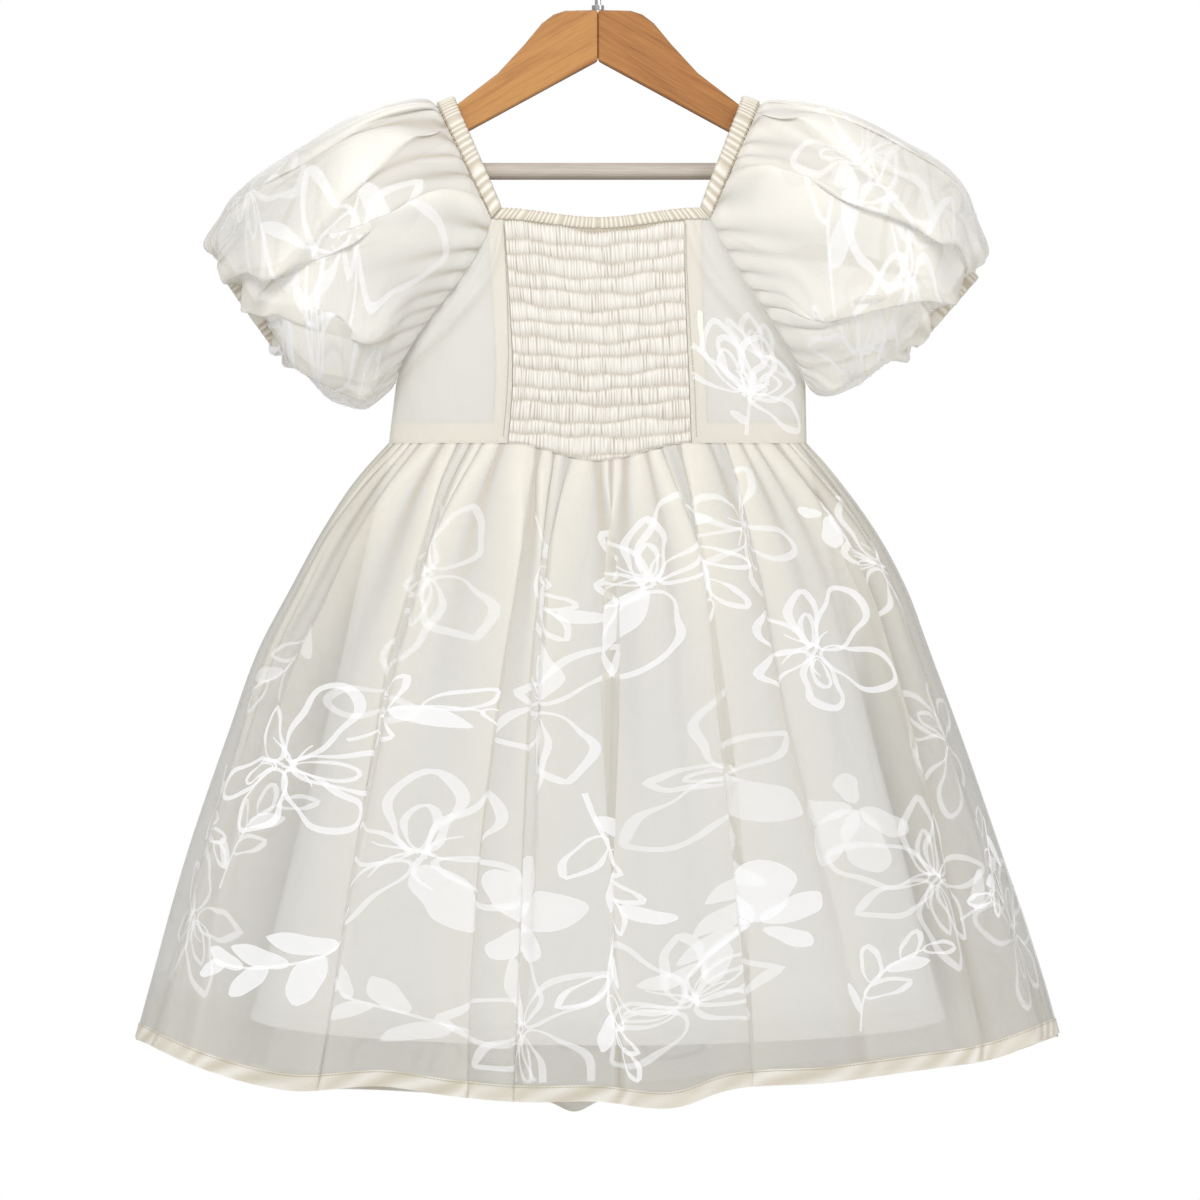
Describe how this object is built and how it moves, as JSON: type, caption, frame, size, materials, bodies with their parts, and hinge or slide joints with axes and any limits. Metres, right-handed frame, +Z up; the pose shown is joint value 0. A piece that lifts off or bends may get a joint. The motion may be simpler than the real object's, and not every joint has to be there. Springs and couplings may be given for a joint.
{
  "type": "organza party dress on clothes hanger",
  "caption": "Child's puff-sleeved organza party dress with a shirred front and a gathered, lined A-line skirt, hanging on a wooden clothes hanger.",
  "frame": {"origin": "inside top of the hanger's hook, where a rail carries it", "axes": "+Z up along the hook's shank, -Y out of the front of the dress, +X to the viewer's right"},
  "size_m": [0.6298, 0.1534, 0.8307],
  "materials": {
    "shirred_organza": "soft satin",
    "organza": "crisp sheer, softly shiny",
    "organza_back": "crisp sheer, softly shiny",
    "skirt_organza": "crisp sheer, softly shiny",
    "sleeve_organza": "crisp sheer, softly shiny",
    "casing": "soft satin",
    "lining": "matt",
    "hanger_wood": "satin varnish",
    "bar_wood": "pale, unvarnished",
    "hook_steel": "polished"
  },
  "bodies": {
    "root": {"bodice_front_smocked": "shirred_organza", "bodice_side_front_left": "organza", "bodice_side_front_right": "organza", "bodice_lining_left": "lining", "bodice_lining_right": "lining", "bodice_back": "organza_back", "skirt_front": "skirt_organza", "skirt_back": "skirt_organza", "skirt_lining_front": "lining", "skirt_lining_back": "lining", "sleeve_left": "sleeve_organza", "sleeve_right": "sleeve_organza", "sleeve_cuff_left": "casing", "sleeve_cuff_right": "casing", "neck_casing_front": "casing", "neck_casing_back": "casing", "neck_casing_left": "casing", "neck_casing_right": "casing", "hanger_arm_left": "hanger_wood", "hanger_arm_right": "hanger_wood", "hanger_bar": "bar_wood", "hanger_hook": "hook_steel", "hanger_hook_collar": "hook_steel"}
  },
  "joints": []
}
